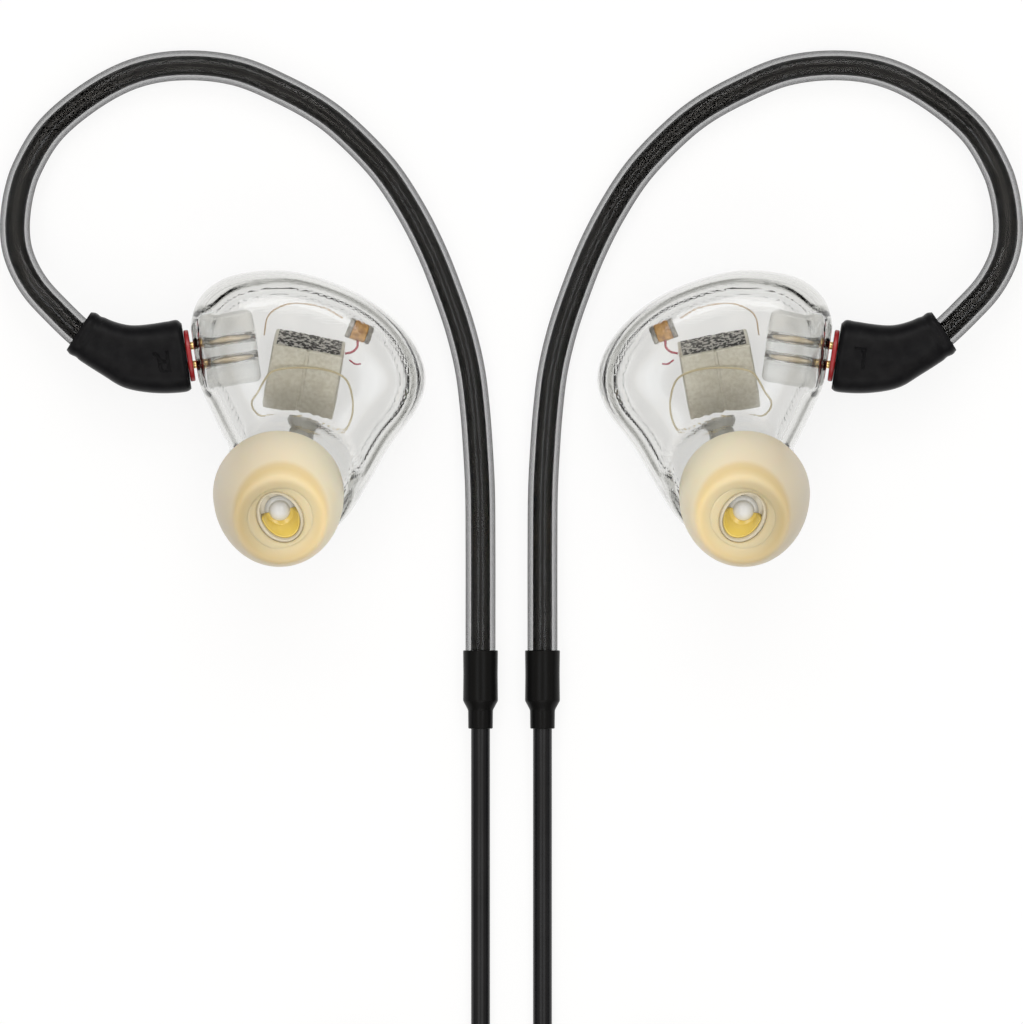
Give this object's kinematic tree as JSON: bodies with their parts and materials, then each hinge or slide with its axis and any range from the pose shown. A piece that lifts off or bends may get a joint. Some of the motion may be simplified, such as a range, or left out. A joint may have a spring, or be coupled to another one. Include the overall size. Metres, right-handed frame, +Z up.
{
  "type": "in-ear monitor pair",
  "caption": "Pair of clear-shelled in-ear monitors with balanced armature drivers, silicone tips and over-ear hooks on a detachable black cable with a headphone plug.",
  "frame": {"origin": "on the surface that the pair lies on, at the middle of the earpieces and hooks", "axes": "+X from the right ear's unit to the left ear's, +Y towards the tops of the ear hooks, +Z up, out of the nozzles"},
  "size_m": [0.1018, 0.1899, 0.0194],
  "materials": {
    "clear_acrylic": "polished clear acrylic with a faint warm tint",
    "clear_vinyl": "glossy clear tube",
    "gold_plate": "gold plated, polished",
    "driver_steel": "warm grey, finely brushed",
    "capacitor_body": "orange ceramic with dull ends",
    "wire_enamel": "crimson enamel",
    "damper_mesh": "white fine mesh",
    "tip_silicone": "cream, soft satin",
    "stem_silicone": "translucent amber",
    "marker_red": "glossy red",
    "boot_rubber": "black, fine matt texture",
    "shrink_sleeve": "black, satin",
    "cord_jacket": "black, smooth satin",
    "strap": "black woven strap",
    "plug_shell": "black anodised",
    "insulator": "black"
  },
  "bodies": {
    "cable": {"right_side_marker": "marker_red", "left_side_marker": "marker_red", "right_pin_upper": "gold_plate", "left_pin_upper": "gold_plate", "right_pin_lower": "gold_plate", "left_pin_lower": "gold_plate", "right_plug_boot": "boot_rubber", "left_plug_boot": "boot_rubber", "right_hook_tube": "clear_vinyl", "left_hook_tube": "clear_vinyl", "right_hook_cable": "cord_jacket", "left_hook_cable": "cord_jacket", "right_hook_sleeve": "shrink_sleeve", "left_hook_sleeve": "shrink_sleeve", "right_branch_cord": "cord_jacket", "left_branch_cord": "cord_jacket", "right_branch_coil": "cord_jacket", "left_branch_coil": "cord_jacket", "right_branch_coil_tie": "strap", "left_branch_coil_tie": "strap", "right_branch_cord_tail": "cord_jacket", "left_branch_cord_tail": "cord_jacket", "splitter": "boot_rubber", "main_cord": "cord_jacket", "main_coil": "cord_jacket", "main_coil_tie": "strap", "main_cord_tail": "cord_jacket", "plug_strain_relief": "boot_rubber", "plug_barrel": "plug_shell", "plug_sleeve_contact": "gold_plate", "plug_ring_contact": "gold_plate", "plug_tip_contact": "gold_plate", "plug_insulator": "insulator"},
    "right_earpiece": {"right_shell": "clear_acrylic", "right_faceplate": "clear_acrylic", "right_socket_block": "clear_acrylic", "right_socket_contact_upper": "gold_plate", "right_socket_contact_lower": "gold_plate", "right_woofer_driver": "driver_steel", "right_tweeter_driver": "driver_steel", "right_capacitor": "capacitor_body", "right_signal_wire": "wire_enamel", "right_sound_tube": "clear_vinyl", "right_damper": "damper_mesh"},
    "right_tip": {"right_ear_tip": "tip_silicone", "right_ear_tip_stem": "stem_silicone"},
    "left_earpiece": {"left_shell": "clear_acrylic", "left_faceplate": "clear_acrylic", "left_socket_block": "clear_acrylic", "left_socket_contact_upper": "gold_plate", "left_socket_contact_lower": "gold_plate", "left_woofer_driver": "driver_steel", "left_tweeter_driver": "driver_steel", "left_capacitor": "capacitor_body", "left_signal_wire": "wire_enamel", "left_sound_tube": "clear_vinyl", "left_damper": "damper_mesh"},
    "left_tip": {"left_ear_tip": "tip_silicone", "left_ear_tip_stem": "stem_silicone"},
    "slider": {"cord_slider": "boot_rubber"}
  },
  "joints": [
    {"name": "right_earpiece_pull", "type": "slide", "parent": "cable", "child": "right_earpiece", "axis": [0.9885, 0.1513, 0], "range_m": [0, 0.0032]},
    {"name": "right_tip_pull", "type": "slide", "parent": "right_earpiece", "child": "right_tip", "axis": [0.035, -0.3399, 0.9398], "range_m": [0, 0.008]},
    {"name": "left_earpiece_pull", "type": "slide", "parent": "cable", "child": "left_earpiece", "axis": [-0.9885, 0.1513, 0], "range_m": [0, 0.0032]},
    {"name": "left_tip_pull", "type": "slide", "parent": "left_earpiece", "child": "left_tip", "axis": [-0.035, -0.3399, 0.9398], "range_m": [0, 0.008]},
    {"name": "slider_slide", "type": "slide", "parent": "cable", "child": "slider", "axis": [0, 1, 0], "range_m": [0, 0.007]}
  ]
}
